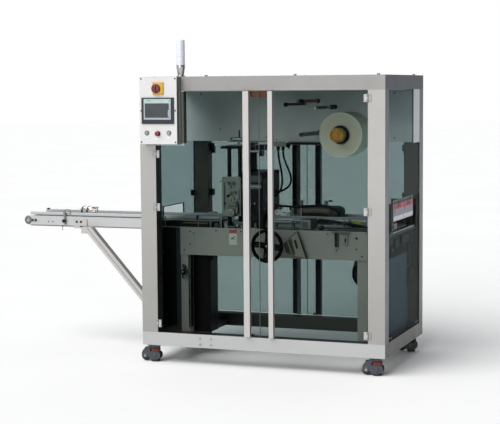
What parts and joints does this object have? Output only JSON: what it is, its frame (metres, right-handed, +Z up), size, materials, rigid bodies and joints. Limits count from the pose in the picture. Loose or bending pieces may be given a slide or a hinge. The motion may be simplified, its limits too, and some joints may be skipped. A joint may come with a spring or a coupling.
{
  "type": "carton sealer machine",
  "caption": "Carton sealing machine in a glazed steel enclosure, with a strutted infeed conveyor, film roll, sealing head, handwheel, control panel and levelling casters.",
  "frame": {"origin": "centre of the footprint of the whole machine, on the floor that the caster pads stand on", "axes": "+X along the carton path from infeed to outfeed, +Y from the front doors to the rear doors, +Z up"},
  "size_m": [2.5049, 1.008, 1.92],
  "materials": {
    "brushed_panel": "brushed, satin",
    "tinted_panel": "clear, smoke-tinted acrylic sheet",
    "dark_sheet": "dark grey powder coat",
    "bed_paint": "olive grey paint, satin",
    "cabinet_paint": "grey powder coat",
    "panel_paint": "off-white powder coat",
    "anodised_profile": "natural anodised",
    "conveyor_aluminium": "natural, satin",
    "bright_metal": "polished",
    "machined_steel": "ground and polished",
    "screen_bezel": "fine-textured moulding",
    "yellow_plastic": "moulded",
    "red_plastic": "moulded",
    "dark_plastic": "moulded",
    "lens_plastic": "translucent, ribbed",
    "black_paint": "black, satin",
    "belt_rubber": "matt belt surface",
    "guide_metal": "brushed",
    "film": "wound clear film",
    "chuck_finish": "turned, orange-brown",
    "roller_red": "rubber sleeve",
    "cable_jacket": "matt jacket",
    "caster_metal": "dark grey, smooth",
    "caster_tread": "hard tread"
  },
  "bodies": {
    "machine": {"base_frame": "brushed_panel", "corner_posts": "brushed_panel", "top_frame": "brushed_panel", "left_side_panel": "tinted_panel", "left_lower_panel": "dark_sheet", "right_side_panel": "tinted_panel", "rear_cabinet": "cabinet_paint", "frame_fasteners": "bright_metal", "hinge_bases": "bright_metal", "control_box": "panel_paint", "control_plate": "panel_paint", "touch_screen": "screen_bezel", "switch_plate": "yellow_plastic", "tower_light_base": "bright_metal", "tower_light_lens": "lens_plastic", "bed_side_plates": "bed_paint", "bed_legs": "bed_paint", "bed_end_cover": "dark_sheet", "drive_cabinet": "black_paint", "height_posts": "machined_steel", "conveyor_side_plates": "conveyor_aluminium", "conveyor_belt": "belt_rubber", "conveyor_strut": "anodised_profile", "near_guide_rail": "guide_metal", "outfeed_table": "guide_metal", "outfeed_guard": "cabinet_paint", "chute_guard": "bed_paint", "head_columns": "black_paint", "head_body": "black_paint", "film_shafts": "machined_steel", "cables": "cable_jacket"},
    "switch_knob": {"switch_knob": "red_plastic"},
    "e_stop_button": {"e_stop_button": "red_plastic"},
    "start_button": {"start_button": "dark_plastic"},
    "reset_button": {"reset_button": "dark_plastic"},
    "left_door": {"left_door_panel": "tinted_panel", "left_door_fittings": "anodised_profile"},
    "right_door": {"right_door_panel": "tinted_panel", "right_door_fittings": "anodised_profile"},
    "rear_left_door": {"rear_left_door_panel": "tinted_panel", "rear_left_door_fittings": "anodised_profile"},
    "rear_right_door": {"rear_right_door_panel": "tinted_panel", "rear_right_door_fittings": "anodised_profile"},
    "handwheel": {"handwheel": "black_paint"},
    "overhead_unit": {"overhead_unit": "black_paint"},
    "seal_head": {"seal_head": "cabinet_paint"},
    "far_guide_rail": {"far_guide_rail": "guide_metal"},
    "film_reel": {"film_roll": "film", "film_chuck": "chuck_finish"},
    "film_guide_roller": {"film_guide_roller": "roller_red"},
    "nose_roller": {"nose_roller": "machined_steel"},
    "drive_roller": {"drive_roller": "machined_steel"},
    "caster_1": {"caster_housing_1": "caster_metal"},
    "caster_wheel_1": {"caster_wheel_1": "caster_tread"},
    "caster_2": {"caster_housing_2": "caster_metal"},
    "caster_wheel_2": {"caster_wheel_2": "caster_tread"},
    "caster_3": {"caster_housing_3": "caster_metal"},
    "caster_wheel_3": {"caster_wheel_3": "caster_tread"},
    "caster_4": {"caster_housing_4": "caster_metal"},
    "caster_wheel_4": {"caster_wheel_4": "caster_tread"}
  },
  "joints": [
    {"name": "left_door_hinge", "type": "hinge", "parent": "machine", "child": "left_door", "pos_m": [-0.146, -0.417, 0.9], "axis": [0, 0, 1], "range_deg": [-115, 0]},
    {"name": "right_door_hinge", "type": "hinge", "parent": "machine", "child": "right_door", "pos_m": [1.151, -0.417, 0.9], "axis": [0, 0, 1], "range_deg": [0, 115]},
    {"name": "rear_left_door_hinge", "type": "hinge", "parent": "machine", "child": "rear_left_door", "pos_m": [-0.146, 0.485, 0.7], "axis": [0, 0, 1], "range_deg": [0, 115]},
    {"name": "rear_right_door_hinge", "type": "hinge", "parent": "machine", "child": "rear_right_door", "pos_m": [1.151, 0.485, 0.7], "axis": [0, 0, 1], "range_deg": [-115, 0]},
    {"name": "main_switch_turn", "type": "hinge", "parent": "machine", "child": "switch_knob", "pos_m": [-0.1045, -0.491, 1.637], "axis": [0, 1, 0], "range_deg": [0, 90]},
    {"name": "e_stop_press", "type": "slide", "parent": "machine", "child": "e_stop_button", "axis": [0, 1, 0], "range_m": [0, 0.006]},
    {"name": "start_press", "type": "slide", "parent": "machine", "child": "start_button", "axis": [0, 1, 0], "range_m": [0, 0.004], "stiffness_N_per_m": 300, "springref_m": -0.001},
    {"name": "reset_press", "type": "slide", "parent": "machine", "child": "reset_button", "axis": [0, 1, 0], "range_m": [0, 0.004], "stiffness_N_per_m": 300, "springref_m": -0.001},
    {"name": "handwheel_turn", "type": "hinge", "parent": "machine", "child": "handwheel", "pos_m": [0.5055, -0.291, 0.712], "axis": [0, 1, 0], "range_deg": [0, 2880]},
    {"name": "overhead_unit_height", "type": "slide", "parent": "machine", "child": "overhead_unit", "axis": [0, 0, 1], "range_m": [0, 0.041]},
    {"name": "seal_head_stroke", "type": "slide", "parent": "machine", "child": "seal_head", "axis": [0, 0, 1], "range_m": [-0.045, 0]},
    {"name": "far_rail_adjust", "type": "slide", "parent": "machine", "child": "far_guide_rail", "axis": [0, 1, 0], "range_m": [-0.035, 0]},
    {"name": "film_reel_spin", "type": "hinge", "parent": "machine", "child": "film_reel", "pos_m": [0.8685, 0.089, 1.356], "axis": [0, 1, 0], "continuous": true},
    {"name": "film_guide_roller_spin", "type": "hinge", "parent": "machine", "child": "film_guide_roller", "pos_m": [0.6495, 0.089, 1.555], "axis": [0, 1, 0], "continuous": true},
    {"name": "drive_roller_spin", "type": "hinge", "parent": "machine", "child": "drive_roller", "pos_m": [0.0825, 0.084, 0.7985], "axis": [0, 1, 0], "continuous": true},
    {"name": "nose_roller_spin", "type": "hinge", "parent": "machine", "child": "nose_roller", "pos_m": [-1.224, 0.084, 0.7985], "axis": [0, 1, 0], "continuous": true},
    {"name": "caster_1_swivel", "type": "hinge", "parent": "machine", "child": "caster_1", "pos_m": [-0.1875, -0.361, 0.09], "axis": [0, 0, 1], "continuous": true},
    {"name": "caster_1_wheel_spin", "type": "hinge", "parent": "caster_1", "child": "caster_wheel_1", "pos_m": [-0.2455, -0.361, 0.033], "axis": [0, 1, 0], "continuous": true},
    {"name": "caster_2_swivel", "type": "hinge", "parent": "machine", "child": "caster_2", "pos_m": [1.1925, -0.361, 0.09], "axis": [0, 0, 1], "continuous": true},
    {"name": "caster_2_wheel_spin", "type": "hinge", "parent": "caster_2", "child": "caster_wheel_2", "pos_m": [1.1345, -0.361, 0.033], "axis": [0, 1, 0], "continuous": true},
    {"name": "caster_3_swivel", "type": "hinge", "parent": "machine", "child": "caster_3", "pos_m": [-0.1875, 0.429, 0.09], "axis": [0, 0, 1], "continuous": true},
    {"name": "caster_3_wheel_spin", "type": "hinge", "parent": "caster_3", "child": "caster_wheel_3", "pos_m": [-0.2455, 0.429, 0.033], "axis": [0, 1, 0], "continuous": true},
    {"name": "caster_4_swivel", "type": "hinge", "parent": "machine", "child": "caster_4", "pos_m": [1.1925, 0.429, 0.09], "axis": [0, 0, 1], "continuous": true},
    {"name": "caster_4_wheel_spin", "type": "hinge", "parent": "caster_4", "child": "caster_wheel_4", "pos_m": [1.1345, 0.429, 0.033], "axis": [0, 1, 0], "continuous": true}
  ],
  "couplings": [
    {"joint": "overhead_unit_height", "follows": "handwheel_turn", "m_per_rad": 0.00079577},
    {"joint": "nose_roller_spin", "follows": "drive_roller_spin", "ratio": 1}
  ]
}
